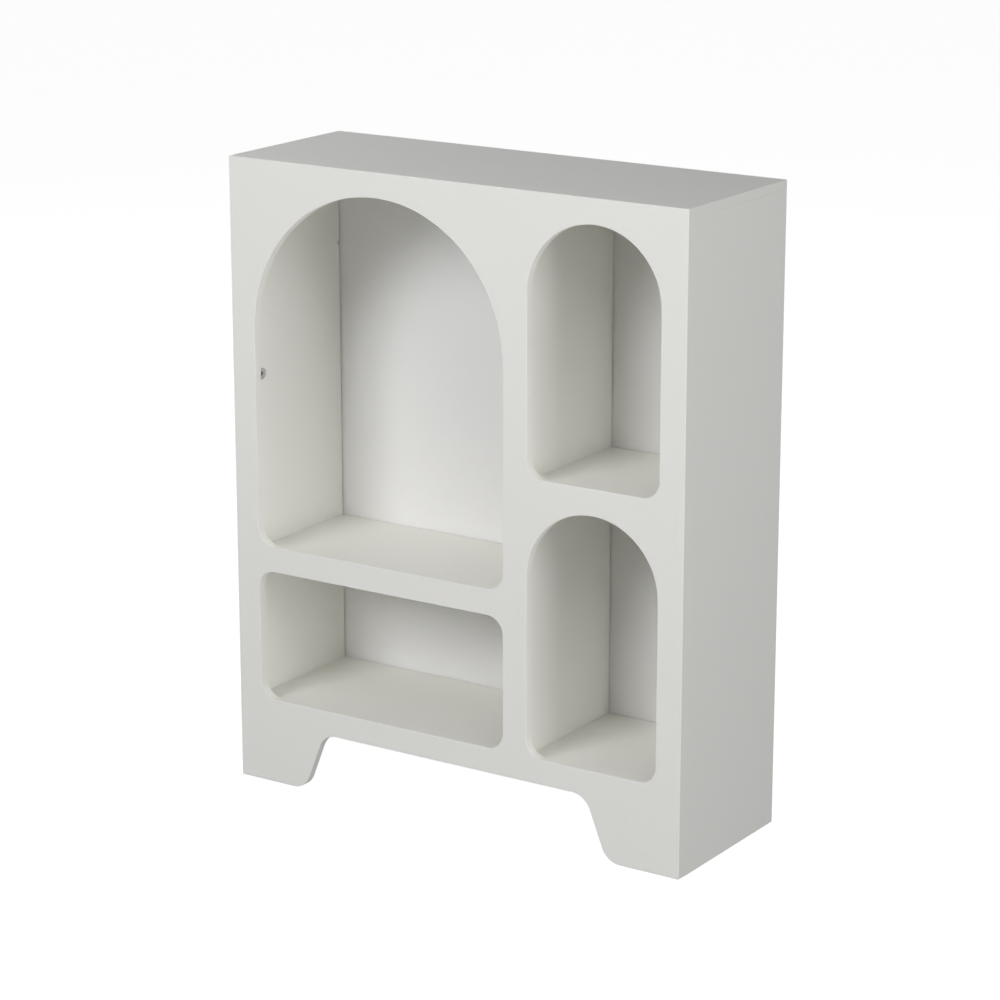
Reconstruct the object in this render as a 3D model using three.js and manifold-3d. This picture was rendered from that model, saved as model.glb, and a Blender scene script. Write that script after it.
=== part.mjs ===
// Flat-pack bookcase with an arched front, as a three.js scene graph.
// Millimetres, +Z up. The front faces -Y, and the origin is on the floor under the middle of the bookcase.
import * as THREE from "three";
import { mergeVertices } from "three/addons/utils/BufferGeometryUtils.js";
import Module from "manifold-3d";

const wasm = await Module();
wasm.setup();

// Whole bookcase
const WIDTH = 688;
const DEPTH = 241;
const HEIGHT = 850;
const BOARD = 12; // thickness of every board but the back
const SEAM = 0.25; // air where two boards meet

// Back panel: a thin sheet held in grooves
const BACK_THICKNESS = 3;
const BACK_RECESS = 14.5; // from the rear edges to the sheet
const GROOVE_DEPTH = 5;
const GROOVE_CLEARANCE = 0.2;
const BACK_GAP = 1.5; // air between the thin back sheet and the boards in front of it
const BACK_BITE = 4.5; // how far the sheet enters a groove

// Front panel: uprights, rails and the openings between them
const STILE = 36;
const MULLION = 36;
const RIGHT_OPENING = 192;
const TOP_RAIL = 33;
const LEFT_RAIL = { low: 297, high: 332 };
const RIGHT_RAIL = { low: 452, high: 487 };
const BOTTOM_RAIL = { low: 84, high: 118 };
const OPENING_CORNER = 24; // radius of an opening's square corners
const FOOT_WIDTH = 106; // from the outer side to the foot's sharp corner on the floor
const LEG_LEAN = THREE.MathUtils.degToRad(21.5);
const LEG_FILLET = 29;
const CHORD_ERROR = 0.15; // how far a straight facet may leave its arc

// Top faces of the boards that carry things
const BOTTOM_TOP = 109.5;
const LEFT_SHELF_TOP = 317;
const RIGHT_SHELF_TOP = 477;
const HOUSING = 1; // how deep the divider's foot is let into the bottom panel

// Cam lock, and the bolt that it pulls
const CAM = { radius: 7.3, height: 9, sunk: 0.2, slotWidth: 6.8, slotFloor: 2.6, slotPast: 3.6 };
const CROSS = { length: 9, width: 1.8, depth: 2 };
const CAM_POCKET = { radius: 7.7, depth: 9.6 };
const CAM_DISTANCE = 34; // from the board's edge to the cam's centre
const BOLT = { thread: 2.4, threadLength: 8.5, shaft: 2.8, neck: 1.6, head: 3 };
const BOLT_BORE = 3.5;
const THREAD_HOLE = { radius: 2.8, depth: 9 };

// Beech dowel, back panel screw and the hole for an anti-tip strap
const DOWEL = { radius: 3, inFace: 8, inEdge: 20 };
const DOWEL_CLEARANCE = 0.4;
const SCREW = { shaft: 1.4, length: 14, head: 3, headHeight: 1.6 };
const SCREW_CLEARANCE = 0.3;
const STRAP_HOLE = { radius: 2, depth: 8, beforeBack: 3, height: 701 };

const BORE_SIDES = 8;
const CAM_SIDES = 20;
const OVERSHOOT = 1; // how far a cutter stands out of the face it enters

// Planes that the boards share
const RIGHT = WIDTH / 2;
const FRONT = -DEPTH / 2;
const REAR = DEPTH / 2;
const INNER_FRONT = FRONT + BOARD;
const INNER_RIGHT = RIGHT - BOARD;
const INNER_TOP = HEIGHT - BOARD;
const BACK_FRONT = REAR - BACK_RECESS - BACK_THICKNESS;
const DIVIDER_X = RIGHT - STILE - RIGHT_OPENING - MULLION / 2;

const MATERIALS = {
  lacquer: new THREE.MeshStandardMaterial({ color: 0xdcdbd7, roughness: 0.55, metalness: 0 }),
  hardboard: new THREE.MeshStandardMaterial({ color: 0xd6d6d5, roughness: 0.6, metalness: 0 }),
  zinc: new THREE.MeshStandardMaterial({ color: 0x8b8c8f, roughness: 0.4, metalness: 1 }),
  steel: new THREE.MeshStandardMaterial({ color: 0xb4b5b8, roughness: 0.3, metalness: 1 }),
  beech: new THREE.MeshStandardMaterial({ color: 0xcda877, roughness: 0.75, metalness: 0 }),
};

const bookcase = new THREE.Group();
const boards = {};

/** Makes a manifold-3d solid of a closed three.js geometry. */
function toSolid(geometry) {
  const bare = geometry.clone();
  bare.deleteAttribute("normal");
  bare.deleteAttribute("uv");
  const merged = mergeVertices(bare);
  const vertProperties = merged.attributes.position.array;
  const triVerts = Uint32Array.from(merged.index.array);
  return new wasm.Manifold(new wasm.Mesh({ numProp: 3, vertProperties, triVerts }));
}

/** Makes a three.js geometry of a manifold-3d solid. */
function toGeometry(solid) {
  const { vertProperties, triVerts } = solid.getMesh();
  const geometry = new THREE.BufferGeometry();
  geometry.setAttribute("position", new THREE.BufferAttribute(vertProperties, 3));
  geometry.setIndex(new THREE.BufferAttribute(triVerts, 1));
  geometry.computeVertexNormals();
  return geometry;
}

/** A box between two corners. */
function boxBetween(low, high) {
  const box = new THREE.Box3(new THREE.Vector3(...low), new THREE.Vector3(...high));
  const size = box.getSize(new THREE.Vector3());
  const centre = box.getCenter(new THREE.Vector3());
  return toSolid(new THREE.BoxGeometry(size.x, size.y, size.z).translate(...centre));
}

/** A drill bit that enters at a point and goes a depth along a direction. */
function drill(entry, direction, radius, depth, sides = BORE_SIDES) {
  const turn = new THREE.Quaternion().setFromUnitVectors(THREE.Object3D.DEFAULT_UP, direction);
  const middle = entry.clone().addScaledVector(direction, (depth - OVERSHOOT) / 2);
  const bit = new THREE.CylinderGeometry(radius, radius, depth + OVERSHOOT, sides);
  return toSolid(bit.applyQuaternion(turn).translate(...middle));
}

/** Removes a cutter from a named board. */
function cut(boardName, cutter) {
  boards[boardName] = boards[boardName].subtract(cutter);
}

/** Adds a named mesh to the bookcase. */
function addMesh(name, geometry, material) {
  const mesh = new THREE.Mesh(geometry, material);
  mesh.name = name;
  bookcase.add(mesh);
  return mesh;
}

/** An outline through corners [x, z, radius], each rounded by an arc of its radius. */
function roundedOutline(corners) {
  const points = [];
  const at = (index) => new THREE.Vector2(...corners.at(index % corners.length));
  corners.forEach(([, , radius], index) => {
    const corner = at(index);
    if (!radius) {
      points.push(corner);
      return;
    }
    const toBefore = at(index - 1).sub(corner).normalize();
    const toAfter = at(index + 1).sub(corner).normalize();
    const half = Math.acos(toBefore.dot(toAfter)) / 2;
    const centre = toBefore.clone().add(toAfter).setLength(radius / Math.sin(half)).add(corner);
    const start = toBefore.clone().multiplyScalar(radius / Math.tan(half)).add(corner);
    const turn = (Math.PI - 2 * half) * Math.sign(toAfter.cross(toBefore));
    const steps = Math.ceil(Math.abs(turn) / (2 * Math.acos(1 - CHORD_ERROR / radius)));
    for (let step = 0; step <= steps; step++) {
      const point = start.clone().rotateAround(centre, (turn * step) / steps);
      if (!points.length || points.at(-1).distanceTo(point) > CHORD_ERROR) points.push(point);
    }
  });
  return points;
}

/** An opening between two uprights, with its own radius at the top: half the width makes an arch. */
function opening(left, right, bottom, top, topRadius) {
  return roundedOutline([
    [left, bottom, OPENING_CORNER],
    [right, bottom, OPENING_CORNER],
    [right, top, topRadius],
    [left, top, topRadius],
  ]);
}

/** The four openings of the front panel. */
function frontOpenings() {
  const leftFrom = -RIGHT + STILE;
  const leftTo = DIVIDER_X - MULLION / 2;
  const rightFrom = DIVIDER_X + MULLION / 2;
  const rightTo = RIGHT - STILE;
  const leftArch = (leftTo - leftFrom) / 2;
  const rightArch = RIGHT_OPENING / 2;
  const archTop = HEIGHT - TOP_RAIL;
  return [
    opening(leftFrom, leftTo, LEFT_RAIL.high, archTop, leftArch),
    opening(leftFrom, leftTo, BOTTOM_RAIL.high, LEFT_RAIL.low, OPENING_CORNER),
    opening(rightFrom, rightTo, RIGHT_RAIL.high, archTop, rightArch),
    opening(rightFrom, rightTo, BOTTOM_RAIL.high, RIGHT_RAIL.low, rightArch),
  ];
}

/** The front panel: one board, cut out for the openings and between its two leaning legs. */
function frontPanel() {
  const footEnd = RIGHT - FOOT_WIDTH;
  const legTop = footEnd - BOTTOM_RAIL.low * Math.tan(LEG_LEAN);
  const outline = roundedOutline([
    [-RIGHT, 0, 0],
    [-footEnd, 0, LEG_FILLET],
    [-legTop, BOTTOM_RAIL.low, LEG_FILLET],
    [legTop, BOTTOM_RAIL.low, LEG_FILLET],
    [footEnd, 0, LEG_FILLET],
    [RIGHT, 0, 0],
    [RIGHT, HEIGHT, 0],
    [-RIGHT, HEIGHT, 0],
  ]);
  const shape = new THREE.Shape(outline);
  shape.holes = frontOpenings().map((points) => new THREE.Path(points));
  const board = new THREE.ExtrudeGeometry(shape, { depth: BOARD, bevelEnabled: false });
  return toSolid(board.rotateX(Math.PI / 2).translate(0, INNER_FRONT, 0));
}

/** A side panel, grooved for the back panel; out is -1 on the left and 1 on the right. */
function sidePanel(out) {
  const inner = out * INNER_RIGHT;
  const outer = out * RIGHT;
  const board = boxBetween(
    [Math.min(inner, outer), INNER_FRONT + SEAM, 0],
    [Math.max(inner, outer), REAR, INNER_TOP - SEAM],
  );
  const grooveFrom = inner - out * OVERSHOOT;
  const grooveTo = inner + out * GROOVE_DEPTH;
  const groove = boxBetween(
    [Math.min(grooveFrom, grooveTo), BACK_FRONT - BACK_GAP, -OVERSHOOT],
    [Math.max(grooveFrom, grooveTo), BACK_FRONT + BACK_THICKNESS + GROOVE_CLEARANCE, HEIGHT],
  );
  return board.subtract(groove);
}

/** The top panel, which lies on the side panels and is grooved for the back panel. */
function topPanel() {
  const board = boxBetween([-RIGHT, INNER_FRONT + SEAM, INNER_TOP], [RIGHT, REAR, HEIGHT]);
  const grooveEnd = INNER_RIGHT + GROOVE_DEPTH;
  const groove = boxBetween(
    [-grooveEnd, BACK_FRONT - BACK_GAP, INNER_TOP - OVERSHOOT],
    [grooveEnd, BACK_FRONT + BACK_THICKNESS + GROOVE_CLEARANCE, INNER_TOP + GROOVE_DEPTH],
  );
  return board.subtract(groove);
}

/** A board inside the carcass, from the front panel to the back panel. */
function innerBoard(left, right, bottom, top) {
  return boxBetween(
    [left + SEAM, INNER_FRONT + SEAM, bottom],
    [right - SEAM, BACK_FRONT - BACK_GAP, top],
  );
}

/** The bottom panel, with a shallow housing for the divider's foot. */
function bottomPanel(dividerLeft, dividerRight) {
  const board = innerBoard(-INNER_RIGHT, INNER_RIGHT, BOTTOM_TOP - BOARD, BOTTOM_TOP);
  const housing = boxBetween(
    [dividerLeft - SEAM, FRONT, BOTTOM_TOP - HOUSING],
    [dividerRight + SEAM, REAR, BOTTOM_TOP + OVERSHOOT],
  );
  return board.subtract(housing);
}

/** The back panel, from under the bottom panel up into the top panel's groove. */
function backPanel() {
  const edge = INNER_RIGHT + BACK_BITE;
  return boxBetween(
    [-edge, BACK_FRONT, BOTTOM_TOP - BOARD],
    [edge, BACK_FRONT + BACK_THICKNESS, INNER_TOP + BACK_BITE],
  );
}

/** Makes every board before anything is drilled. */
function makeBoards() {
  const dividerLeft = DIVIDER_X - BOARD / 2;
  const dividerRight = DIVIDER_X + BOARD / 2;
  boards.front_panel = frontPanel();
  boards.left_side_panel = sidePanel(-1);
  boards.right_side_panel = sidePanel(1);
  boards.top_panel = topPanel();
  boards.bottom_panel = bottomPanel(dividerLeft, dividerRight);
  boards.left_shelf = innerBoard(-INNER_RIGHT, dividerLeft, LEFT_SHELF_TOP - BOARD, LEFT_SHELF_TOP);
  boards.right_shelf = innerBoard(dividerRight, INNER_RIGHT, RIGHT_SHELF_TOP - BOARD, RIGHT_SHELF_TOP);
  boards.centre_divider = innerBoard(
    dividerLeft - SEAM,
    dividerRight + SEAM,
    BOTTOM_TOP - HOUSING + SEAM,
    INNER_TOP - SEAM,
  );
  boards.back_panel = backPanel();
}

/** A cam lock: its face looks along +Z at z = 0, and its bolt comes in along -X. */
function camGeometry() {
  const body = new THREE.CylinderGeometry(CAM.radius, CAM.radius, CAM.height, CAM_SIDES);
  body.rotateX(Math.PI / 2).translate(0, 0, -CAM.sunk - CAM.height / 2);
  const slot = boxBetween(
    [-CAM.slotPast, -CAM.slotWidth / 2, -CAM.height - OVERSHOOT],
    [CAM.radius + OVERSHOOT, CAM.slotWidth / 2, -CAM.sunk - CAM.slotFloor],
  );
  const recess = [-CAM.sunk - CROSS.depth, OVERSHOOT];
  const across = [CROSS.length / 2, CROSS.width / 2];
  const bars = [across, [...across].reverse()].map(([x, y]) =>
    boxBetween([-x, -y, recess[0]], [x, y, recess[1]]),
  );
  return toGeometry(bars.reduce((solid, bar) => solid.subtract(bar), toSolid(body).subtract(slot)));
}

/** A cam bolt along +Z: its thread ends at z = 0, and its head reaches the cam's centre. */
function boltGeometry() {
  const neckFrom = CAM_DISTANCE - 5;
  const headFrom = CAM_DISTANCE - 2.5;
  const headTo = CAM_DISTANCE + 1.5;
  const profile = [
    [0, -BOLT.threadLength],
    [BOLT.thread, -BOLT.threadLength],
    [BOLT.thread, 0],
    [BOLT.shaft, 0],
    [BOLT.shaft, neckFrom],
    [BOLT.neck, neckFrom],
    [BOLT.neck, headFrom],
    [BOLT.head, headFrom],
    [BOLT.head, headTo],
    [0, headTo],
  ].map(([radius, along]) => new THREE.Vector2(radius, along));
  return toGeometry(toSolid(new THREE.LatheGeometry(profile, BORE_SIDES).rotateX(Math.PI / 2)));
}

/** A dowel along +Z, with z = 0 where the two boards meet. */
function dowelGeometry() {
  const length = DOWEL.inFace + DOWEL.inEdge;
  const body = new THREE.CylinderGeometry(DOWEL.radius, DOWEL.radius, length, BORE_SIDES);
  return body.rotateX(Math.PI / 2).translate(0, 0, length / 2 - DOWEL.inFace);
}

/** A back panel screw along +Z: its head sits on the sheet at z = 0 and its point leads. */
function screwGeometry() {
  const profile = [
    [0, -SCREW.headHeight],
    [SCREW.head * 0.6, -SCREW.headHeight],
    [SCREW.head, -SEAM],
    [SCREW.shaft, -SEAM],
    [SCREW.shaft, SCREW.length - 3],
    [0, SCREW.length],
  ].map(([radius, along]) => new THREE.Vector2(radius, along));
  return toGeometry(toSolid(new THREE.LatheGeometry(profile, BORE_SIDES).rotateX(Math.PI / 2)));
}

const CAM_GEOMETRY = camGeometry();
const BOLT_GEOMETRY = boltGeometry();
const DOWEL_GEOMETRY = dowelGeometry();
const SCREW_GEOMETRY = screwGeometry();

const X = new THREE.Vector3(1, 0, 0);
const Y = new THREE.Vector3(0, 1, 0);
const Z = new THREE.Vector3(0, 0, 1);
const DOWN = Z.clone().negate();

/** Turns a mesh so that its own +Z lies along one direction and its own +X along another. */
function orient(mesh, alongZ, alongX) {
  const alongY = new THREE.Vector3().crossVectors(alongZ, alongX);
  mesh.quaternion.setFromRotationMatrix(new THREE.Matrix4().makeBasis(alongX, alongY, alongZ));
}

/**
 * A cam lock joint. The bolt crosses the seam at a point, in the middle of the cam board's edge, and
 * runs along "into" to the cam, which is let into the face that looks along "face".
 */
function camJoint(name, seam, into, face, camBoard, boltBoard) {
  const away = into.clone().negate();
  const pocket = seam.clone().addScaledVector(into, CAM_DISTANCE).addScaledVector(face, BOARD / 2);
  cut(camBoard, drill(seam, into, BOLT_BORE, CAM_DISTANCE));
  cut(camBoard, drill(pocket, face.clone().negate(), CAM_POCKET.radius, CAM_POCKET.depth, CAM_SIDES));
  cut(boltBoard, drill(seam, away, THREAD_HOLE.radius, THREAD_HOLE.depth));

  const cam = addMesh(`cam_lock_${name}`, CAM_GEOMETRY, MATERIALS.zinc);
  orient(cam, face, away);
  cam.position.copy(pocket);
  const bolt = addMesh(`cam_bolt_${name}`, BOLT_GEOMETRY, MATERIALS.steel);
  orient(bolt, into, face);
  bolt.position.copy(seam);
}

/** A dowel joint: the dowel enters one board's face and another board's edge, along "into". */
function dowelJoint(name, seam, into, faceBoard, edgeBoard) {
  const radius = DOWEL.radius + DOWEL_CLEARANCE;
  cut(faceBoard, drill(seam, into.clone().negate(), radius, DOWEL.inFace + DOWEL_CLEARANCE));
  cut(edgeBoard, drill(seam, into, radius, DOWEL.inEdge + DOWEL_CLEARANCE));
  const dowel = addMesh(`dowel_${name}`, DOWEL_GEOMETRY, MATERIALS.beech);
  dowel.quaternion.setFromUnitVectors(Z, into);
  dowel.position.copy(seam);
}

/** A screw through the back panel into the rear edge of a board. */
function backScrew(name, x, z, board) {
  const entry = new THREE.Vector3(x, BACK_FRONT + BACK_THICKNESS, z);
  const towardsFront = Y.clone().negate();
  const hole = drill(entry, towardsFront, SCREW.shaft + SCREW_CLEARANCE, SCREW.length + SCREW_CLEARANCE);
  cut("back_panel", hole);
  cut(board, hole);
  const screw = addMesh(`back_screw_${name}`, SCREW_GEOMETRY, MATERIALS.steel);
  orient(screw, towardsFront, X);
  screw.position.copy(entry);
}

/** Everything that fastens one side of the carcass, and the hole for the anti-tip strap. */
function fastenSide(side, out) {
  const panel = `${side}_side_panel`;
  const inwards = X.clone().multiplyScalar(-out);
  const boardMiddle = out * (RIGHT - BOARD / 2);
  for (const [place, height] of [["low", 55], ["middle", 553], ["high", 776]]) {
    const seam = new THREE.Vector3(boardMiddle, INNER_FRONT, height);
    camJoint(`${side}_front_${place}`, seam, Y, inwards, panel, "front_panel");
  }
  for (const [place, y] of [["front", -40], ["rear", 65]]) {
    const topSeam = new THREE.Vector3(boardMiddle, y, INNER_TOP);
    camJoint(`${side}_top_${place}`, topSeam, DOWN, inwards, panel, "top_panel");
    const bottomSeam = new THREE.Vector3(out * INNER_RIGHT, y, BOTTOM_TOP - BOARD / 2);
    camJoint(`${side}_bottom_${place}`, bottomSeam, inwards, DOWN, "bottom_panel", panel);
  }
  const strap = new THREE.Vector3(out * INNER_RIGHT, BACK_FRONT - STRAP_HOLE.beforeBack, STRAP_HOLE.height);
  cut(panel, drill(strap, X.clone().multiplyScalar(out), STRAP_HOLE.radius, STRAP_HOLE.depth));
}

/** The dowels that locate the front panel on the top, the bottom and the divider. */
function dowelFront() {
  for (const [place, x] of [["left", -150], ["right", 210]]) {
    const top = new THREE.Vector3(x, INNER_FRONT, HEIGHT - BOARD / 2);
    dowelJoint(`front_top_${place}`, top, Y, "front_panel", "top_panel");
    const bottom = new THREE.Vector3(x, INNER_FRONT, BOTTOM_TOP - BOARD / 2);
    dowelJoint(`front_bottom_${place}`, bottom, Y, "front_panel", "bottom_panel");
  }
  for (const [place, height] of [["low", 230], ["high", 640]]) {
    const seam = new THREE.Vector3(DIVIDER_X, INNER_FRONT, height);
    dowelJoint(`front_divider_${place}`, seam, Y, "front_panel", "centre_divider");
  }
}

/** The dowels at the ends of the divider and of the two shelves. */
function dowelInside() {
  for (const [place, y] of [["front", -70], ["rear", 70]]) {
    const foot = new THREE.Vector3(DIVIDER_X, y, BOTTOM_TOP - HOUSING);
    dowelJoint(`divider_bottom_${place}`, foot, Z, "bottom_panel", "centre_divider");
    const head = new THREE.Vector3(DIVIDER_X, y, INNER_TOP);
    dowelJoint(`divider_top_${place}`, head, DOWN, "top_panel", "centre_divider");
    for (const [shelf, out, top] of [["left", -1, LEFT_SHELF_TOP], ["right", 1, RIGHT_SHELF_TOP]]) {
      const outer = new THREE.Vector3(out * INNER_RIGHT, y, top - BOARD / 2);
      const inner = new THREE.Vector3(DIVIDER_X + (out * BOARD) / 2, y, top - BOARD / 2);
      const outwards = X.clone().multiplyScalar(out);
      const inwards = outwards.clone().negate();
      dowelJoint(`${shelf}_shelf_side_${place}`, outer, inwards, `${shelf}_side_panel`, `${shelf}_shelf`);
      dowelJoint(`${shelf}_shelf_divider_${place}`, inner, outwards, "centre_divider", `${shelf}_shelf`);
    }
  }
}

/** The screws that hold the back panel to the boards it covers. */
function screwBack() {
  backScrew("bottom_left", -200, BOTTOM_TOP - BOARD / 2, "bottom_panel");
  backScrew("bottom_right", 200, BOTTOM_TOP - BOARD / 2, "bottom_panel");
  backScrew("left_shelf", -120, LEFT_SHELF_TOP - BOARD / 2, "left_shelf");
  backScrew("right_shelf", 220, RIGHT_SHELF_TOP - BOARD / 2, "right_shelf");
  backScrew("divider", DIVIDER_X, 640, "centre_divider");
}

makeBoards();
fastenSide("left", -1);
fastenSide("right", 1);
dowelFront();
dowelInside();
screwBack();
for (const [name, solid] of Object.entries(boards)) {
  const material = name === "back_panel" ? MATERIALS.hardboard : MATERIALS.lacquer;
  addMesh(name, toGeometry(solid), material);
}

export default bookcase;
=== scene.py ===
"""The looks of the arched-front bookcase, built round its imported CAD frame.

Metres, +Z up, and the front faces -Y. Every place comes from the boxes of the CAD nodes.
"""
import math

import bmesh
import bpy
from mathutils import Matrix, Vector
from mathutils.geometry import delaunay_2d_cdt


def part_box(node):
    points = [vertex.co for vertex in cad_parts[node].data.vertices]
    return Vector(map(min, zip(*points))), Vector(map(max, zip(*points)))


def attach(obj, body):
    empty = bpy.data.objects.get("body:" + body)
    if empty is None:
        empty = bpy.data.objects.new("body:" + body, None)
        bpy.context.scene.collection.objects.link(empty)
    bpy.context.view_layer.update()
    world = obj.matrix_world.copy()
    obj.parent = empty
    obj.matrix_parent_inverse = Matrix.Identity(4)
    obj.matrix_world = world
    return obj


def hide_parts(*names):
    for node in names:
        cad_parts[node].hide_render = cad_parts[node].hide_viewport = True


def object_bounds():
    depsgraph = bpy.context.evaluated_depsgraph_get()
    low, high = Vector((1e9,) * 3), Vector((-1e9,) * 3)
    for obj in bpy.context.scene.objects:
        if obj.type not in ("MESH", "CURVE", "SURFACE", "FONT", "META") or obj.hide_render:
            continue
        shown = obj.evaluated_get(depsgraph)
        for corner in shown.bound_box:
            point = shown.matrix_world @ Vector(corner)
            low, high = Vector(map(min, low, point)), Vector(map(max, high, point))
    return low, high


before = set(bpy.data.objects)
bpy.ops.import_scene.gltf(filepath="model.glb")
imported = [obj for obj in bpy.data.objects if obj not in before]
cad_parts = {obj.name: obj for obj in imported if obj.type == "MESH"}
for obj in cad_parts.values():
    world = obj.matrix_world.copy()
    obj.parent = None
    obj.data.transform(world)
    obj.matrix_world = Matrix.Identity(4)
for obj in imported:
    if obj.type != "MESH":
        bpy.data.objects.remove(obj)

CAD_LOW, CAD_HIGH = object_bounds()
MM = 0.001

# The front panel's openings and legs, in millimetres; rails are (low, high) above the floor
STILE = 36
MULLION = 36
RIGHT_OPENING = 192
TOP_RAIL = 33
LEFT_RAIL = (297, 332)
RIGHT_RAIL = (452, 487)
BOTTOM_RAIL = (84, 118)
OPENING_CORNER = 24
FOOT_WIDTH = 106
LEG_LEAN = math.radians(21.5)
LEG_FILLET = 29

# How finely outlines and holes are drawn; an arc up to SMALL_RADIUS takes the coarser step
ARC_STEP = math.radians(3)
CORNER_STEP = math.radians(22.5)
SMALL_RADIUS = 2
CLOSEST_POINTS = 0.01
POCKET_SIDES = 48
HOLE_SIDES = 24

# Edges and joints, in millimetres: a board's EDGE rounds its faces' rims, its CORNER its outline
FRONT_EDGE = 1.0
FRONT_CORNER = 1.2
BOARD_EDGE = 0.3
BOARD_CORNER = 0.5
JOINT_EDGE = 0.15
JOINT_CLOSE = 0.2
EDGE_STEPS = 4
SMOOTH_UP_TO = math.radians(38)
FLAT_WEIGHT = 90

# Holes and grooves, in millimetres; a hole with two numbers is (radius, depth)
CAM_DISTANCE = 34
CAM_SUNK = 0.2
CAM_POCKET = (7.7, 9.6)
BOLT_BORE = 3.5
THREAD_HOLE = (2.8, 9)
THREAD_LENGTH = 8.5
DOWEL_RADIUS = 3
DOWEL_AIR = 0.4
SCREW_RADIUS = 1.4
SCREW_HEAD = 1.6
SCREW_AIR = 0.3
GROOVE_DEPTH = 5
GROOVE_AIR = 0.2
BACK_GAP = 1.5
RAW_EDGE = 0.3
STRAP_HOLE = (2, 8)
STRAP_HEIGHT = 701
STRAP_BEFORE_BACK = 3
HOUSING_AIR = 0.25
HOUSING_REACH = 5
OVERSHOOT = 1

AXES = {"x": Vector((1, 0, 0)), "y": Vector((0, 1, 0)), "z": Vector((0, 0, 1))}


# ---------------------------------------------------------------- node materials


class Shader:
    """A material with a Principled shader, and short calls that add the nodes feeding it."""

    def __init__(self, name):
        self.material = bpy.data.materials.new(name)
        self.material.use_nodes = True
        self.nodes = self.material.node_tree.nodes
        self.links = self.material.node_tree.links
        self.surface = self.nodes["Principled BSDF"]
        self.place = self.nodes.new("ShaderNodeTexCoord").outputs["Object"]

    def set(self, **values):
        """Sets the shader's own sockets; an underscore in a name stands for a space."""
        for name, value in values.items():
            self.surface.inputs[name.replace("_", " ")].default_value = value

    def stretch(self, x, y, z):
        """Object coordinates multiplied along each axis."""
        node = self.nodes.new("ShaderNodeMapping")
        node.inputs["Scale"].default_value = (x, y, z)
        self.links.new(self.place, node.inputs["Vector"])
        return node.outputs["Vector"]

    def noise(self, scale, detail=2.0, roughness=0.5, place=None):
        """Soft noise, from 0 to 1, with so many features in a metre."""
        node = self.nodes.new("ShaderNodeTexNoise")
        node.inputs["Scale"].default_value = scale
        node.inputs["Detail"].default_value = detail
        node.inputs["Roughness"].default_value = roughness
        self.links.new(place or self.place, node.inputs["Vector"])
        return node.outputs["Fac"]

    def cells(self, scale, place=None):
        """Distance to the nearest cell centre, for grain and cast skin."""
        node = self.nodes.new("ShaderNodeTexVoronoi")
        node.inputs["Scale"].default_value = scale
        self.links.new(place or self.place, node.inputs["Vector"])
        return node.outputs["Distance"]

    def remap(self, value, low, high, from_low=0.0, from_high=1.0):
        """Moves a value from one range into another, and keeps it there."""
        node = self.nodes.new("ShaderNodeMapRange")
        node.inputs["From Min"].default_value = from_low
        node.inputs["From Max"].default_value = from_high
        node.inputs["To Min"].default_value = low
        node.inputs["To Max"].default_value = high
        self.links.new(value, node.inputs["Value"])
        return node.outputs["Result"]

    def math(self, operation, first, second):
        """One sum of two values; the second may be a number."""
        node = self.nodes.new("ShaderNodeMath")
        node.operation = operation
        self.links.new(first, node.inputs[0])
        if isinstance(second, (int, float)):
            node.inputs[1].default_value = second
        else:
            self.links.new(second, node.inputs[1])
        return node.outputs[0]

    def edges(self, radius):
        """1 on a convex or concave edge and 0 on a flat face, within a radius in metres."""
        bevel = self.nodes.new("ShaderNodeBevel")
        bevel.samples = 4
        bevel.inputs["Radius"].default_value = radius
        dot = self.nodes.new("ShaderNodeVectorMath")
        dot.operation = "DOT_PRODUCT"
        self.links.new(bevel.outputs["Normal"], dot.inputs[0])
        self.links.new(self.nodes.new("ShaderNodeNewGeometry").outputs["Normal"], dot.inputs[1])
        return self.remap(dot.outputs["Value"], 1.0, 0.0, 0.8, 1.0)

    def mix(self, factor, first, second):
        """A colour between two; each is a colour or another node's output."""
        node = self.nodes.new("ShaderNodeMix")
        node.data_type = "RGBA"
        self.links.new(factor, node.inputs["Factor"])
        for socket, colour in ((node.inputs[6], first), (node.inputs[7], second)):
            if isinstance(colour, tuple):
                socket.default_value = (*colour, 1)
            else:
                self.links.new(colour, socket)
        return node.outputs[2]

    def colour(self, output):
        self.links.new(output, self.surface.inputs["Base Color"])

    def roughness(self, output):
        self.links.new(output, self.surface.inputs["Roughness"])

    def bump(self, height, depth, after=None):
        """Bump of a real depth in metres, over an earlier bump if one is given."""
        node = self.nodes.new("ShaderNodeBump")
        node.inputs["Strength"].default_value = 1.0
        node.inputs["Distance"].default_value = depth
        self.links.new(height, node.inputs["Height"])
        if after:
            self.links.new(after, node.inputs["Normal"])
        self.links.new(node.outputs["Normal"], self.surface.inputs["Normal"])
        return node.outputs["Normal"]


def lacquer():
    """Satin white lacquer on MDF: rolled-on skin, faint mottling, and rims painted lighter in
    patches, partly rubbed wear and partly a painted highlight.
    """
    s = Shader("satin_white_lacquer")
    s.set(IOR=1.46)
    mottle = s.mix(s.noise(5, 3), (0.893, 0.881, 0.802), (0.911, 0.899, 0.822))
    specks = s.remap(s.noise(260, 2), 0.0, 1.0, 0.60, 0.78)
    speckled = s.mix(specks, mottle, (0.883, 0.870, 0.789))
    # Rims painted lighter and a little glossier in patches: partly rubbed wear, partly a painted
    # highlight where the rounded edges catch the light.
    rubbed_edges_and_highlight = s.math("MULTIPLY", s.edges(1.2 * MM), s.remap(s.noise(40, 3), 0.1, 0.7))
    s.colour(s.mix(rubbed_edges_and_highlight, speckled, (0.92, 0.912, 0.852)))
    dull = s.remap(s.noise(18, 3), 0.44, 0.56)
    s.roughness(s.math("SUBTRACT", dull, s.math("MULTIPLY", rubbed_edges_and_highlight, 0.1)))
    waves = s.bump(s.noise(110, 2), 0.03 * MM)
    s.bump(s.noise(620, 3, 0.6), 0.012 * MM, waves)
    return s.material


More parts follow.
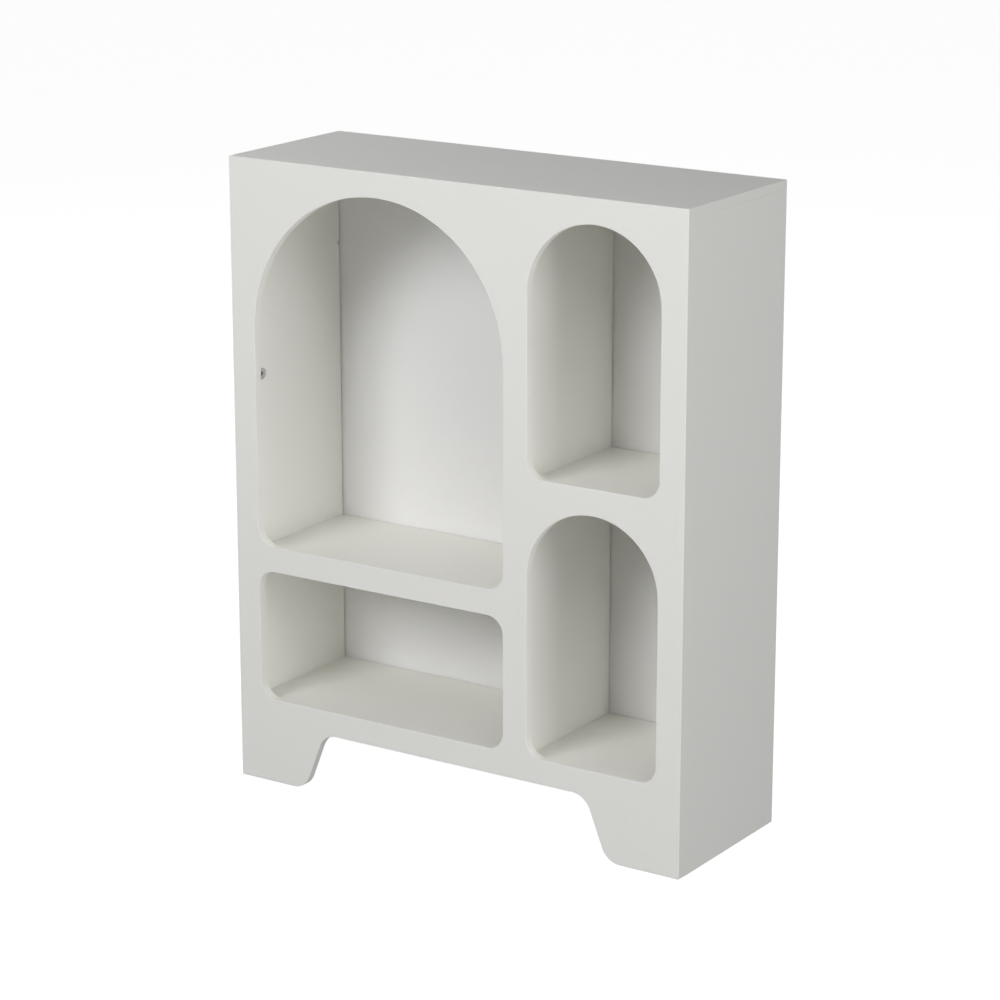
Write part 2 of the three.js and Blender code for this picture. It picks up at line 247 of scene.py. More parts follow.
def mdf_core(name, dark, light):
    """The cut inside of the board, in holes and grooves: short brown fibres."""
    s = Shader(name)
    fibre = s.noise(1400, 4, 0.7)
    s.colour(s.mix(fibre, dark, light))
    s.roughness(s.remap(s.noise(500), 0.8, 0.95))
    s.bump(fibre, 0.1 * MM)
    return s.material


def back_foil():
    """The back sheet: white foil in front, and bare hardboard with its screen marks behind."""
    s = Shader("back_sheet_foil_and_hardboard")
    s.set(IOR=1.46)
    foil = s.mix(s.noise(7, 3), (0.886, 0.879, 0.846), (0.904, 0.897, 0.864))
    fibre = s.noise(420, 5, 0.7, s.stretch(1, 1, 0.55))
    screen = s.cells(520)
    board = s.mix(fibre, (0.215, 0.125, 0.066), (0.40, 0.255, 0.145))
    side = s.nodes.new("ShaderNodeSeparateXYZ")
    s.links.new(s.nodes.new("ShaderNodeNewGeometry").outputs["True Normal"], side.inputs[0])
    behind = s.remap(side.outputs["Y"], 0.0, 1.0, 0.45, 0.55)
    s.colour(s.mix(behind, foil, board))
    dull = s.remap(s.noise(24, 3), 0.42, 0.52)
    s.roughness(s.math("ADD", dull, s.math("MULTIPLY", behind, 0.35)))
    skin = s.bump(s.noise(500, 2), 0.012 * MM)
    s.bump(s.math("MULTIPLY", s.math("ADD", screen, fibre), behind), 0.15 * MM, skin)
    return s.material


def metal(name, low, high, dull, grain, depth, stretch=None):
    """Dull metal: tone and gloss vary with a fine skin of a given grain."""
    s = Shader(name)
    s.set(Metallic=1.0)
    place = s.stretch(*stretch) if stretch else None
    skin = s.noise(grain, 4, 0.6, place)
    cloud = s.noise(grain / 6, 2)
    rubbed = s.mix(s.edges(0.35 * MM), s.mix(cloud, low, high), (0.82, 0.82, 0.82))
    s.colour(rubbed)
    s.roughness(s.remap(s.math("ADD", skin, cloud), dull - 0.12, dull + 0.12, 0.6, 1.4))
    s.bump(skin, depth)
    return s.material


def beech():
    """Raw beech: long pale grain with short darker flecks."""
    s = Shader("raw_beech")
    grain = s.noise(900, 4, 0.6, s.stretch(1, 1, 0.08))
    flecks = s.remap(s.noise(1500, 2, 0.5, s.stretch(1, 1, 0.15)), 0.0, 1.0, 0.62, 0.75)
    wood = s.mix(grain, (0.53, 0.36, 0.19), (0.70, 0.52, 0.31))
    s.colour(s.mix(flecks, wood, (0.34, 0.20, 0.09)))
    s.roughness(s.remap(grain, 0.6, 0.8))
    s.bump(grain, 0.06 * MM)
    return s.material


def floor_paper():
    """The pale studio floor, which glows a little so that it stays near white."""
    s = Shader("pale_floor")
    s.set(Roughness=0.9, Emission_Color=(1, 1, 1, 1), Emission_Strength=0.95)
    s.colour(s.mix(s.noise(2, 3), (0.30, 0.30, 0.30), (0.32, 0.32, 0.32)))
    return s.material


LACQUER = lacquer()
CORE = mdf_core("raw_mdf_core", dark=(0.30, 0.20, 0.115), light=(0.50, 0.37, 0.235))
# Near-black core for the strap holes: painted shade, which makes the holes read dark inside where
# little light gets in.
SHADED_HOLE_CORE = mdf_core("mdf_core_painted_shade", dark=(0.07, 0.05, 0.035), light=(0.14, 0.105, 0.075))
FOIL = back_foil()
ZINC = metal(
    "die_cast_zinc",
    low=(0.45, 0.45, 0.46), high=(0.60, 0.60, 0.61),
    dull=0.42, grain=1800, depth=0.05 * MM,
)
# Near-black zinc for the cam's cross recess and socket: painted shade, which darkens the hollows
# where little light reaches.
SHADED_ZINC_RECESS = metal(
    "zinc_recess_painted_shade",
    low=(0.07, 0.07, 0.07), high=(0.12, 0.12, 0.12),
    dull=0.6, grain=1800, depth=0.05 * MM,
)
STEEL = metal(
    "zinc_plated_steel",
    low=(0.55, 0.55, 0.56), high=(0.68, 0.68, 0.67),
    dull=0.32, grain=1500, depth=0.02 * MM, stretch=(1, 1, 6),
)
BEECH = beech()


# ---------------------------------------------------------------- outlines and boards


def rounded_outline(corners):
    """Points through corners (x, y, radius), each corner rounded by an arc of its radius."""
    points = []
    count = len(corners)
    for index, (x, y, radius) in enumerate(corners):
        corner = Vector((x, y))
        if not radius:
            points.append(corner)
            continue
        before = (Vector(corners[index - 1][:2]) - corner).normalized()
        after = (Vector(corners[(index + 1) % count][:2]) - corner).normalized()
        half = before.angle(after) / 2
        centre = corner + (before + after).normalized() * (radius / math.sin(half))
        arm = corner + before * (radius / math.tan(half)) - centre
        turn = (math.pi - 2 * half) * (1 if after.cross(before) > 0 else -1)
        steps = math.ceil(abs(turn) / (ARC_STEP if radius > SMALL_RADIUS else CORNER_STEP))
        for step in range(steps + 1):
            point = centre + Matrix.Rotation(turn * step / steps, 2) @ arm
            if not points or (points[-1] - point).length > CLOSEST_POINTS:
                points.append(point)
    if (points[0] - points[-1]).length < CLOSEST_POINTS:
        points.pop()
    return points


def opening(left, right, bottom, top, top_radius):
    """A front opening between two uprights; half its width as top radius makes an arch."""
    return rounded_outline([
        (left, bottom, OPENING_CORNER),
        (right, bottom, OPENING_CORNER),
        (right, top, top_radius),
        (left, top, top_radius),
    ])


def front_loops():
    """The outlines of the front panel and of its four openings, in millimetres."""
    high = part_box("front_panel")[1]
    side = high.x / MM
    height = high.z / MM
    left, left_end = -side + STILE, side - STILE - RIGHT_OPENING - MULLION
    right, right_end = side - STILE - RIGHT_OPENING, side - STILE
    left_arch, right_arch = (left_end - left) / 2, RIGHT_OPENING / 2
    top = height - TOP_RAIL
    foot = side - FOOT_WIDTH
    leg = foot - BOTTOM_RAIL[0] * math.tan(LEG_LEAN)
    outer = rounded_outline([
        (-side, 0, FRONT_CORNER),
        (-foot, 0, LEG_FILLET),
        (-leg, BOTTOM_RAIL[0], LEG_FILLET),
        (leg, BOTTOM_RAIL[0], LEG_FILLET),
        (foot, 0, LEG_FILLET),
        (side, 0, FRONT_CORNER),
        (side, height, FRONT_CORNER),
        (-side, height, FRONT_CORNER),
    ])
    return [
        outer,
        opening(left, left_end, LEFT_RAIL[1], top, left_arch),
        opening(left, left_end, BOTTOM_RAIL[1], LEFT_RAIL[0], OPENING_CORNER),
        opening(right, right_end, RIGHT_RAIL[1], top, right_arch),
        opening(right, right_end, BOTTOM_RAIL[1], RIGHT_RAIL[0], right_arch),
    ]


def signed_area(loop):
    """The area of a loop, positive where it runs anticlockwise."""
    return sum(a.cross(b) for a, b in zip(loop, loop[1:] + loop[:1])) / 2


def inset(loop, distance):
    """The loop moved into the material, which lies on its left."""
    moved = []
    for index, point in enumerate(loop):
        before = (point - loop[index - 1]).normalized()
        after = (loop[(index + 1) % len(loop)] - point).normalized()
        first, second = Vector((-before.y, before.x)), Vector((-after.y, after.x))
        moved.append(point + (first + second) * (distance / (1 + first.dot(second))))
    return moved


def rim_rings(loop, near, far, near_edge, far_edge):
    """Rings (points, depth) from the near face round both rounded rims to the far face."""
    angles = [math.pi / 2 * step / EDGE_STEPS for step in range(EDGE_STEPS + 1)]
    rings = []
    for angle in angles:
        depth = near + near_edge * (1 - math.cos(angle))
        rings.append((inset(loop, near_edge * (1 - math.sin(angle))), depth))
    for angle in reversed(angles):
        depth = far - far_edge * (1 - math.cos(angle))
        rings.append((inset(loop, far_edge * (1 - math.sin(angle))), depth))
    return rings


def inside(point, loops):
    """Whether a point lies in the material: inside the outline and in none of the openings."""
    crossings = 0
    for loop in loops:
        for a, b in zip(loop, loop[1:] + loop[:1]):
            if (a.y > point.y) != (b.y > point.y):
                crossings += point.x < a.x + (b.x - a.x) * (point.y - a.y) / (b.y - a.y)
    return crossings % 2 == 1


def fill_cap(bm, rings, loops):
    """Closes a board's face between its outline and its openings with well-shaped triangles."""
    verts = [vert for ring in rings for vert in ring]
    points = [point for loop in loops for point in loop]
    edges = []
    for loop in loops:
        first = len(edges)
        edges += [(first + i, first + (i + 1) % len(loop)) for i in range(len(loop))]
    _, _, triangles, sources, _, _ = delaunay_2d_cdt(points, edges, [], 0, 1e-4)
    for triangle in triangles:
        corners = [sources[i][0] for i in triangle]
        if inside(sum((points[i] for i in corners), Vector((0, 0))) / 3, loops):
            bm.faces.new([verts[i] for i in corners])


def slab(loops, near, far, near_edge, far_edge, across, up, through):
    """A board cut along its outline and openings, with rounded rims on both faces.

    Loops are in millimetres across and up, and the faces lie at near and far along through.
    """
    bm = bmesh.new()
    caps = {0: ([], []), -1: ([], [])}
    for index, loop in enumerate(loops):
        if (signed_area(loop) > 0) != (index == 0):
            loop = loop[::-1]
        outlines = rim_rings(loop, near, far, near_edge, far_edge)
        rings = [
            [bm.verts.new((across * p.x + up * p.y + through * depth) * MM) for p in points]
            for points, depth in outlines
        ]
        for ring, following in zip(rings, rings[1:]):
            for i in range(len(ring)):
                bm.faces.new((ring[i - 1], ring[i], following[i], following[i - 1]))
        for end, (cap_rings, cap_loops) in caps.items():
            cap_rings.append(rings[end])
            cap_loops.append(outlines[end][0])
    for cap_rings, cap_loops in caps.values():
        fill_cap(bm, cap_rings, cap_loops)
    bmesh.ops.recalc_face_normals(bm, faces=bm.faces)
    return bm


def board_slab(low, high, thin):
    """A rectangular board between two corners in metres; thin names its thickness axis."""
    across, up = [AXES[name] for name in "xyz" if name != thin]
    a, b = Vector(low) / MM, Vector(high) / MM
    left, right, bottom, top = a @ across, b @ across, a @ up, b @ up
    corners = [(left, bottom), (right, bottom), (right, top), (left, top)]
    loop = rounded_outline([(x, y, BOARD_CORNER) for x, y in corners])
    through = AXES[thin]
    return slab([loop], a @ through, b @ through, BOARD_EDGE, BOARD_EDGE, across, up, through)


# ---------------------------------------------------------------- turned shapes and holes


def turned(stations, sides, shape=None):
    """A closed shape turned about +Z from stations (z, radius), in millimetres.

    shape(z, angle, radius) may give another radius, for threads and flutes.
    """
    bm = bmesh.new()
    rings = []
    for z, radius in stations:
        ring = []
        for side in range(sides):
            angle = 2 * math.pi * side / sides
            r = shape(z, angle, radius) if shape else radius
            ring.append(bm.verts.new(Vector((r * math.cos(angle), r * math.sin(angle), z)) * MM))
        rings.append(ring)
    for ring, following in zip(rings, rings[1:]):
        for i in range(sides):
            bm.faces.new((ring[i - 1], ring[i], following[i], following[i - 1]))
    bm.faces.new(rings[0][::-1])
    bm.faces.new(rings[-1])
    bmesh.ops.recalc_face_normals(bm, faces=bm.faces)
    return bm


def block(low, high):
    """A box between two corners in millimetres, for cutting only."""
    bm = bmesh.new()
    size = Vector(high) - Vector(low)
    middle = (Vector(high) + Vector(low)) / 2
    bmesh.ops.create_cube(bm, size=1, matrix=Matrix.LocRotScale(middle * MM, None, size * MM))
    return bm


def basis(along_z, along_x, origin):
    """The matrix that carries local +Z and +X onto two directions, and 0 onto the origin."""
    along_y = along_z.cross(along_x)
    turn = Matrix((along_x, along_y, along_z)).transposed().to_4x4()
    return Matrix.Translation(origin) @ turn


def any_across(direction):
    """Some axis at right angles to another axis."""
    return AXES["z"] if abs(direction.z) < 0.5 else AXES["x"]


def object_of(name, bm, *materials):
    """A linked mesh object made of a bmesh, with its materials."""
    mesh = bpy.data.meshes.new(name)
    bm.to_mesh(mesh)
    bm.free()
    for material in materials:
        mesh.materials.append(material)
    made = bpy.data.objects.new(name, mesh)
    bpy.context.scene.collection.objects.link(made)
    return made


def joined(cutters):
    """One bmesh of several (bmesh, matrix) pairs."""
    whole = bmesh.new()
    for bm, matrix in cutters:
        bm.transform(matrix)
        part = bpy.data.meshes.new("part")
        bm.to_mesh(part)
        bm.free()
        whole.from_mesh(part)
        bpy.data.meshes.remove(part)
    return whole


def carve(target, lining, *groups):
    """Cuts groups of (bmesh, matrix) out of an object in turn; the cut faces get the lining."""
    for cutters in groups:
        if not cutters:
            continue
        cutter = object_of("cutter", joined(cutters), lining)
        cut = target.modifiers.new("cut", "BOOLEAN")
        cut.operation = "DIFFERENCE"
        cut.solver = "EXACT"
        cut.material_mode = "TRANSFER"
        cut.object = cutter
        bpy.context.view_layer.update()
        evaluated = target.evaluated_get(bpy.context.evaluated_depsgraph_get())
        carved = bpy.data.meshes.new_from_object(evaluated)
        target.modifiers.clear()
        target.data = carved
        bpy.data.objects.remove(cutter)
    return target


def finish_mesh(target):
    """Smooth rounding between flat faces, and crisp edges where the angle is large."""
    target.data.shade_smooth()
    target.data.set_sharp_from_angle(angle=SMOOTH_UP_TO)
    weighted = target.modifiers.new("flat_faces", "WEIGHTED_NORMAL")
    weighted.keep_sharp = True
    weighted.weight = FLAT_WEIGHT


def place_piece(piece, node):
    """Puts a finished piece in its CAD node's stead, on the only body."""
    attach(piece, "root")
    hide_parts(node)


# ---------------------------------------------------------------- where the fittings are


def middle_of(node):
    """The middle of a CAD node's box."""
    low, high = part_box(node)
    return (low + high) / 2


def long_axis(node):
    """The direction of a CAD node's longest side."""
    low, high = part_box(node)
    size = high - low
    return AXES["xyz"[list(size).index(max(size))]].copy()


def nodes_named(prefix):
    """The CAD nodes whose names start with a prefix, in order."""
    return sorted(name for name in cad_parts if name.startswith(prefix))


def cam_face(name):
    """The way a cam lock's face looks: down under the bottom panel, inwards on the sides."""
    if "_bottom_" in name:
        return -AXES["z"]
    return AXES["x"] if "_left_" in name else -AXES["x"]


class Joint:
    """A cam lock and its bolt: the seam between the boards, and the way to the cam."""

    def __init__(self, name):
        self.cam = "cam_lock_" + name
        self.bolt = "cam_bolt_" + name
        self.face = cam_face(self.cam)
        self.into = long_axis(self.bolt)
        if (middle_of(self.cam) - middle_of(self.bolt)) @ self.into < 0:
            self.into = -self.into
        low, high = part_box(self.bolt)
        half_length = abs((high - low) @ self.into) / 2
        start = middle_of(self.bolt) - self.into * half_length
        self.seam = start + self.into * THREAD_LENGTH * MM
        low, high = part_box(self.cam)
        half_height = abs((high - low) @ self.face) / 2
        self.surface = middle_of(self.cam) + self.face * (half_height + CAM_SUNK * MM)


JOINTS = [Joint(name.removeprefix("cam_lock_")) for name in nodes_named("cam_lock_")]


def pocket_cutters():
    """The round pockets that the cam locks sit in."""
    radius, depth = CAM_POCKET
    pocket = [(-OVERSHOOT, radius), (depth, radius)]
    return [
        (turned(pocket, POCKET_SIDES), basis(-j.face, j.into, j.surface))
        for j in JOINTS
    ]


def bore_cutters():
    """The stepped bores of the bolts, and the holes of the dowels and the screws."""
    core, depth = THREAD_HOLE
    bolt = [(-depth, core), (0, core), (0, BOLT_BORE), (CAM_DISTANCE, BOLT_BORE)]
    cutters = [(turned(bolt, HOLE_SIDES), basis(j.into, j.face, j.seam)) for j in JOINTS]
    kinds = (("dowel_", DOWEL_RADIUS, DOWEL_AIR), ("back_screw_", SCREW_RADIUS, SCREW_AIR))
    for prefix, radius, air in kinds:
        for node in nodes_named(prefix):
            along = long_axis(node)
            low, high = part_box(node)
            half = abs((high - low) @ along) / 2 / MM + air
            hole = turned([(-half, radius + air), (half, radius + air)], HOLE_SIDES)
            cutters.append((hole, basis(along, any_across(along), middle_of(node))))
    return cutters


def strap_cutters():
    """The pilot holes for an anti-tip strap, just before the back sheet."""
    radius, depth = STRAP_HOLE
    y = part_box("back_panel")[0].y - STRAP_BEFORE_BACK * MM
    cutters = []
    for panel, out in (("left_side_panel", -AXES["x"]), ("right_side_panel", AXES["x"])):
        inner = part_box(panel)[1 if out.x < 0 else 0].x
        matrix = basis(out, AXES["z"], Vector((inner, y, STRAP_HEIGHT * MM)))
        hole = turned([(-OVERSHOOT, radius), (depth, radius)], HOLE_SIDES)
        cutters.append((hole, matrix))
    return cutters


def groove_cutters():
    """The grooves for the back sheet: those of the two sides, and that of the top."""
    low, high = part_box("back_panel")
    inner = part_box("right_side_panel")[0].x / MM
    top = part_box("top_panel")[0].z / MM
    front, rear = low.y / MM - BACK_GAP, high.y / MM + GROOVE_AIR
    edge = inner + GROOVE_DEPTH
    uprights = [
        block((-edge, front, -OVERSHOOT), (-inner + OVERSHOOT, rear, top + OVERSHOOT)),
        block((inner - OVERSHOOT, front, -OVERSHOOT), (edge, rear, top + OVERSHOOT)),
    ]
    over = block((-edge, front, top - OVERSHOOT), (edge, rear, top + GROOVE_DEPTH))
    return [(bm, Matrix()) for bm in uprights], [(over, Matrix())]


def rear_cutter(low, high):
    """Takes the rounded rear rim off an inner board, which leaves a sharp unpainted edge."""
    start = Vector((low.x / MM - OVERSHOOT, high.y / MM - RAW_EDGE, low.z / MM - OVERSHOOT))
    end = Vector((high.x / MM + OVERSHOOT, high.y / MM + OVERSHOOT, high.z / MM + OVERSHOOT))
    return [(block(start, end), Matrix())]


def near(cutters, node):
    """Copies of the cutters that reach a CAD node's box, so that each board keeps its own."""
    low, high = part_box(node)
    kept = []
    for bm, matrix in cutters:
        points = [matrix @ v.co for v in bm.verts]
        lowest = Vector(min(p[i] for p in points) for i in range(3))
        highest = Vector(max(p[i] for p in points) for i in range(3))
        if all(lowest[i] < high[i] and highest[i] > low[i] for i in range(3)):
            kept.append((bm.copy(), matrix))
    return kept


# ---------------------------------------------------------------- the boards

# Each board's thin axis, and which of its low and high faces close up to the next board
BOARDS = {
    "left_side_panel": ("x", (0, -1, 0), (0, 0, 1)),
    "right_side_panel": ("x", (0, -1, 0), (0, 0, 1)),
    "top_panel": ("z", (0, -1, 0), (0, 0, 0)),
    "bottom_panel": ("z", (-1, -1, 0), (1, 0, 0)),
    "centre_divider": ("x", (0, -1, -1), (0, 0, 1)),
    "left_shelf": ("z", (-1, -1, 0), (1, 0, 0)),
    "right_shelf": ("z", (-1, -1, 0), (1, 0, 0)),
    "back_panel": ("y", (0, 0, 0), (0, 0, 0)),
    "front_panel": ("y", (0, 0, 0), (0, 0, 0)),
}
RAW_REAR = ("bottom_panel", "centre_divider", "left_shelf", "right_shelf")


def housing_cutter():
    """The shallow housing in the bottom panel for the divider's foot."""
    low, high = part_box("centre_divider")
    start = (low.x / MM - HOUSING_AIR, CAD_LOW.y / MM, low.z / MM - HOUSING_AIR)
    end = (high.x / MM + HOUSING_AIR, CAD_HIGH.y / MM, low.z / MM + HOUSING_REACH)
    return [(block(start, end), Matrix())]


def build_boards():
    """The nine boards, each with its own grooves and holes cut out."""
    pockets, bores, straps = pocket_cutters(), bore_cutters(), strap_cutters()
    uprights, over = groove_cutters()
    housing = housing_cutter()
    for name, (thin, grow_low, grow_high) in BOARDS.items():
        low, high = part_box(name)
        low = low + Vector(grow_low) * JOINT_CLOSE * MM
        high = high + Vector(grow_high) * JOINT_CLOSE * MM
        sawn = []
        if name in RAW_REAR:
            high = high + AXES["y"] * RAW_EDGE * MM
            sawn = rear_cutter(low, high)
        if name == "front_panel":
            ends = (low.y / MM, high.y / MM)
            axes = (AXES["x"], AXES["z"], AXES["y"])
            bm = slab(front_loops(), *ends, FRONT_EDGE, JOINT_EDGE, *axes)
        else:
            bm = board_slab(low, high, thin)
        is_back = name == "back_panel"
        board = object_of("board_" + name, bm, FOIL if is_back else LACQUER)
        groove = near(uprights, name) if "side" in name else []
        if name == "top_panel":
            groove = near(over, name)
        if name == "bottom_panel":
            groove = near(housing, name)
        hidden = [] if is_back else near(pockets, name)
        carve(board, CORE, sawn, groove, hidden, near(bores, name))
        if "side" in name:
            # The strap holes are lined with the near-black core, painted shade inside them.
            carve(board, SHADED_HOLE_CORE, near(straps, name))
        finish_mesh(board)
        place_piece(board, name)


# ---------------------------------------------------------------- the fittings

# A cross recess narrows to these shares of its length and width; a thread's flank is a share
# of its pitch; the depth of the dowels' flutes is in millimetres
RECESS_TAPER = (0.55, 0.7)
THREAD_FLANK = 0.3
FLUTES = 18
FLUTE_DEPTH = 0.22
FLUTE_SHAPE = 0.7


def cross_cutters(length, width, depth, top):
    """The two tapering bars of a cross recess, sunk from the face at z = top."""
    cutters = []
    for turn in (0, math.pi / 2):
        bm = block((-length / 2, -width / 2, top - depth), (length / 2, width / 2, top + OVERSHOOT))
        for vert in bm.verts:
            if vert.co.z < (top - depth / 2) * MM:
                vert.co.x *= RECESS_TAPER[0]
                vert.co.y *= RECESS_TAPER[1]
        cutters.append((bm, Matrix.Rotation(turn, 4, "Z")))
    return cutters


def cam_mesh():
    """A cam lock, its face at z = 0 and looking up, with the bolt coming in along -X."""
    wall = [(-9, 6.9), (-8.7, 7.2), (-1.6, 7.2), (-1.4, 7.3), (-0.25, 7.3)]
    face = [(0, 7.05), (0, 6.2), (-0.35, 5.9)]
    cam = object_of("cam", turned(wall + face, 64), ZINC)
    slot = block((-3.6, -3.4, -10), (9, 3.4, -2.6))
    arrow = turned([(-0.6, 0.75), (1, 0.75)], 3)
    arrow_place = Matrix.Translation((5.1 * MM, 0, 0))
    socket = turned([(-3.4, 1.2), (-0.35, 2.3), (1, 2.3)], 24)
    cross = cross_cutters(length=8.2, width=1.8, depth=2.0, top=-0.35)
    carve(cam, ZINC, [(slot, Matrix())], [(arrow, arrow_place)])
    # The cross recess and socket are lined with the near-black zinc, painted shade in the hollows.
    return carve(cam, SHADED_ZINC_RECESS, cross[:1], cross[1:], [(socket, Matrix())])


def thread(pitch, core, crest, start, end):
    """A thread's radius at a height and angle: crests over a core, fading at the ends."""

    def shape(z, angle, radius):
        if not start <= z <= end:
            return radius
        phase = (z / pitch - angle / (2 * math.pi)) % 1.0
        rise = max(0.0, 1 - abs(phase - 0.5) / THREAD_FLANK)
        fade = min(1.0, (z - start) / pitch, (end - z) / pitch)
        return radius * (core + (crest - core) * rise * fade) / crest

    return shape


def bolt_mesh():
    """A cam bolt along +Z: coarse thread below the seam, collar, shaft, neck and round head."""
    steps = 56
    threaded = [(-8.5, 1.2), (-8.3, 1.9)]
    threaded += [(-8.1 + 8.0 * i / steps, 2.4) for i in range(steps + 1)]
    collar = [(0.1, 2.4), (0.1, 2.8), (1.2, 2.8), (1.4, 2.3), (1.9, 2.3), (2.1, 2.8)]
    neck = [(28.6, 2.8), (29, 2.4), (29.4, 1.6), (31.2, 1.6), (31.5, 2.2)]
    angles = (-0.9, -0.5, -0.1, 0.3, 0.7, 1.1, 1.5)
    head = [(33.25 + 2.2 * math.sin(a), 0.6 + 2.4 * math.cos(a)) for a in angles]
    coarse = thread(pitch=2.0, core=1.75, crest=2.4, start=-8.2, end=0)
    bolt = object_of("bolt", turned(threaded + collar + neck + head, 32, coarse), STEEL)
    bars = cross_cutters(length=3.4, width=0.8, depth=1.2, top=35.5)
    return carve(bolt, STEEL, bars[:1], bars[1:])


def dowel_mesh():
    """A fluted beech dowel along +Z with chamfered ends, about its middle."""

    def flutes(z, angle, radius):
        return radius - FLUTE_DEPTH * max(0.0, math.cos(angle * FLUTES)) ** FLUTE_SHAPE

    stations = [(-14, 2.3), (-13.2, 3.0), (-12.4, 3.0), (12.4, 3.0), (13.2, 3.0), (14, 2.3)]
    return object_of("dowel", turned(stations, 144, flutes), BEECH)


def screw_mesh():
    """A back panel screw along +Z: pan head with a cross recess, sharp thread and point."""
    steps = 84
    head = [(-SCREW_HEAD, 1.6), (-1.5, 2.1), (-1.2, 2.6), (-0.7, 2.95), (-0.25, 3.0)]
    neck = [(-0.2, 1.3), (0.3, 1.3)]
    body = [(0.3 + 11.2 * i / steps, 1.4) for i in range(1, steps + 1)]
    point = [(12.6, 0.9), (13.9, 0.08)]
    sharp = thread(pitch=1.3, core=0.95, crest=1.4, start=0.3, end=11.5)
    screw = object_of("screw", turned(head + neck + body + point, 28, sharp), STEEL)
    bars = cross_cutters(length=3.2, width=0.75, depth=1.1, top=0)
    flip = Matrix.Translation((0, 0, -SCREW_HEAD * MM)) @ Matrix.Rotation(math.pi, 4, "X")
    return carve(screw, STEEL, *[[(bm, flip @ matrix)] for bm, matrix in bars])


def copies(pattern, placed):
    """One piece for each (node, matrix), all sharing the pattern's mesh."""
    finish_mesh(pattern)
    for node, matrix in placed:
        piece = pattern.copy()
        piece.name = "fitting_" + node
        bpy.context.scene.collection.objects.link(piece)
        piece.matrix_world = matrix
        place_piece(piece, node)
    bpy.data.objects.remove(pattern)


def build_fittings():
    """The cam locks, bolts, dowels and screws, each kind sharing one mesh."""
    cams, bolts = [], []
    for j in JOINTS:
        sunk = j.surface - j.face * CAM_SUNK * MM
        cams.append((j.cam, basis(j.face, -j.into, sunk)))
        bolts.append((j.bolt, basis(j.into, j.face, j.seam)))
    copies(cam_mesh(), cams)
    copies(bolt_mesh(), bolts)
    dowels = []
    for node in nodes_named("dowel_"):
        along = long_axis(node)
        dowels.append((node, basis(along, any_across(along), middle_of(node))))
    copies(dowel_mesh(), dowels)
    screws = []
    for node in nodes_named("back_screw_"):
        middle = middle_of(node)
        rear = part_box(node)[1].y
        seat = Vector((middle.x, rear - SCREW_HEAD * MM, middle.z))
        screws.append((node, basis(-AXES["y"], AXES["x"], seat)))
    copies(screw_mesh(), screws)


# ---------------------------------------------------------------- studio

# Softboxes, fitted to the shades of the photograph's faces: azimuth, elevation, watts
SOFTBOXES = {
    "key": (-10, 30, 48),
    "key_low": (-10, 20, 14.5),
    "left": (-92, -20, 12),
    "left_high": (-110, 40, 30),
    "right": (50, 5, 8),
    "right_high": (50, 40, 14),
    "right_side": (75, 5, 40),
    "rear": (-165, -20, 26),
    "floor_bounce": (0, -60, 12),
}
SOFTBOX_SIZE = 1.4
SOFTBOX_DISTANCE = 3.5
LIT_POINT = Vector((0, 0, 0.4))
LIGHT_COLOUR = (0.977, 0.985, 1.037)
WORLD_STRENGTH = 0.05
DISPLAY_GAMMA = 1.2

# The camera, fitted to the photograph: lens and sensor in millimetres, azimuth and elevation
# in degrees, target and distance in bookcase heights
LENS = 116.9
SENSOR = 36
CAMERA_TARGET = Vector((-0.0037, 0, 0.4847))
CAMERA_ANGLES = (33.45, 15.63)
CAMERA_DISTANCE = 4.978
FARTHEST_SEEN = 60

# The floor, in metres: a disc whose rim curves up into a wall that the camera never reaches
FLOOR_RADIUS = 9
FLOOR_RIM = 0.2
FLOOR_BELOW = 0.5 * MM
COVE = 4
COVE_STEPS = 12
COVE_SIDES = 96
WALL_TOP = 12


def look_from(obj, target, azimuth, elevation, distance):
    """Places an object that looks along its -Z at a target, from an azimuth and elevation."""
    a, e = math.radians(azimuth), math.radians(elevation)
    back = Vector((math.sin(a) * math.cos(e), -math.cos(a) * math.cos(e), math.sin(e)))
    obj.location = target + back * distance
    obj.rotation_euler = (-back).to_track_quat("-Z", "Y").to_euler()


def add_camera():
    """The camera at the photograph's angle, without any shift."""
    lens = bpy.data.cameras.new("camera")
    lens.sensor_width = SENSOR
    lens.lens = LENS
    lens.clip_end = FARTHEST_SEEN
    camera = bpy.data.objects.new("camera", lens)
    bpy.context.scene.collection.objects.link(camera)
    height = CAD_HIGH.z - CAD_LOW.z
    look_from(camera, CAMERA_TARGET * height, *CAMERA_ANGLES, CAMERA_DISTANCE * height)
    bpy.context.scene.camera = camera


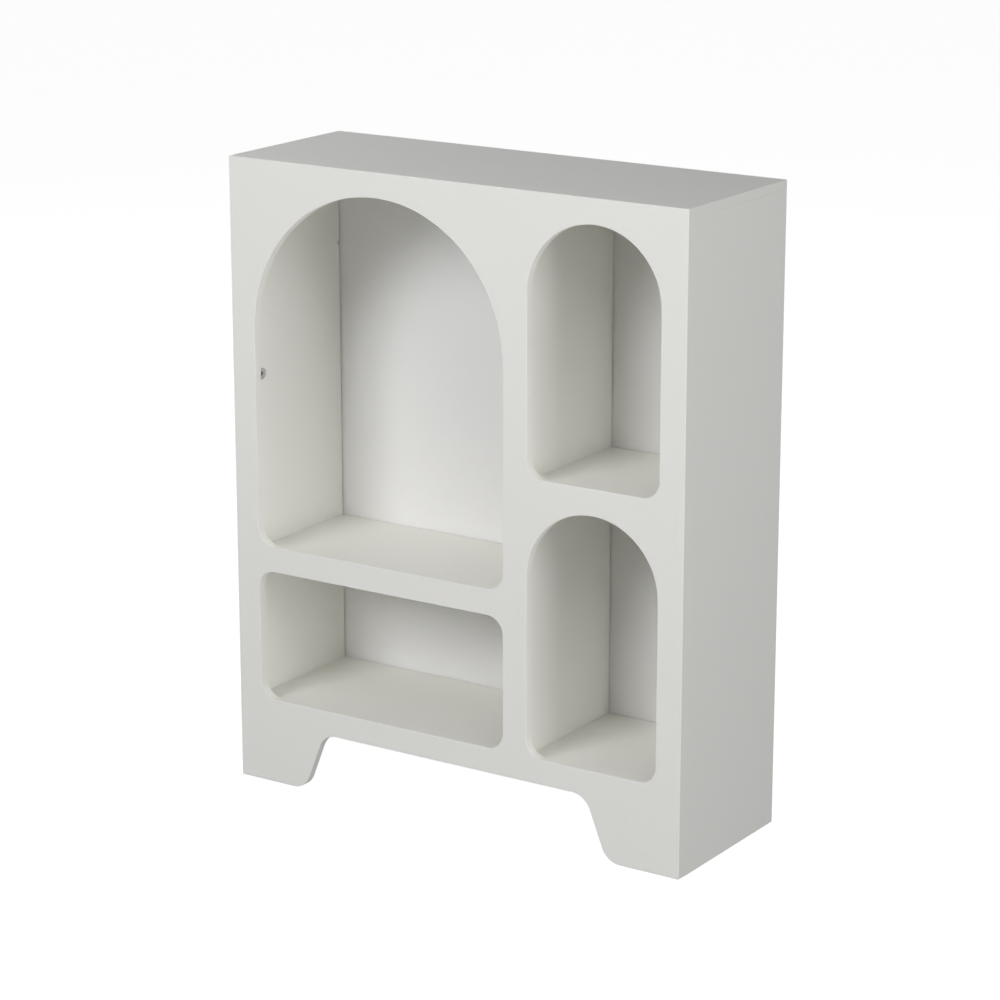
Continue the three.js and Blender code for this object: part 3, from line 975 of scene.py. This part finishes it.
def add_softbox(name, azimuth, elevation, power):
    """A large soft light that the camera doesn't see, turned towards the bookcase."""
    light = bpy.data.lights.new("softbox_" + name, "AREA")
    light.size = SOFTBOX_SIZE
    light.energy = power
    light.color = LIGHT_COLOUR
    softbox = bpy.data.objects.new(light.name, light)
    softbox.visible_camera = False
    bpy.context.scene.collection.objects.link(softbox)
    look_from(softbox, LIT_POINT, azimuth, elevation, SOFTBOX_DISTANCE)


def add_world():
    """A faint even light from all round."""
    world = bpy.data.worlds.new("studio")
    world.use_nodes = True
    background = world.node_tree.nodes["Background"]
    background.inputs["Color"].default_value = (*LIGHT_COLOUR, 1)
    background.inputs["Strength"].default_value = WORLD_STRENGTH
    bpy.context.scene.world = world


def add_floor():
    """A flat pale floor that curves up into a wall all round, and lights nothing."""
    profile = [(FLOOR_RADIUS - FLOOR_RIM, 0), (FLOOR_RADIUS, 0)]
    for step in range(1, COVE_STEPS + 1):
        angle = math.pi / 2 * step / COVE_STEPS
        profile.append((FLOOR_RADIUS + COVE * math.sin(angle), COVE * (1 - math.cos(angle))))
    profile.append((FLOOR_RADIUS + COVE, WALL_TOP))
    bm = bmesh.new()
    rings = []
    for radius, z in profile:
        turns = [2 * math.pi * side / COVE_SIDES for side in range(COVE_SIDES)]
        rings.append([bm.verts.new((radius * math.cos(t), radius * math.sin(t), z)) for t in turns])
    bm.faces.new(rings[0])
    for ring, following in zip(rings, rings[1:]):
        for i in range(COVE_SIDES):
            bm.faces.new((ring[i - 1], ring[i], following[i], following[i - 1]))
    bmesh.ops.recalc_face_normals(bm, faces=bm.faces)
    floor = object_of("studio_floor", bm, floor_paper())
    floor.data.shade_smooth()
    floor.location.z = CAD_LOW.z - FLOOR_BELOW
    floor.visible_diffuse = False
    floor.visible_glossy = False
    floor.visible_shadow = False


def build_studio():
    """The floor, the lights and the camera."""
    add_floor()
    add_world()
    for name, (azimuth, elevation, power) in SOFTBOXES.items():
        add_softbox(name, azimuth, elevation, power)
    add_camera()
    bpy.context.scene.view_settings.view_transform = "Standard"
    bpy.context.scene.view_settings.gamma = DISPLAY_GAMMA


build_boards()
build_fittings()
build_studio()

bpy.context.view_layer.update()
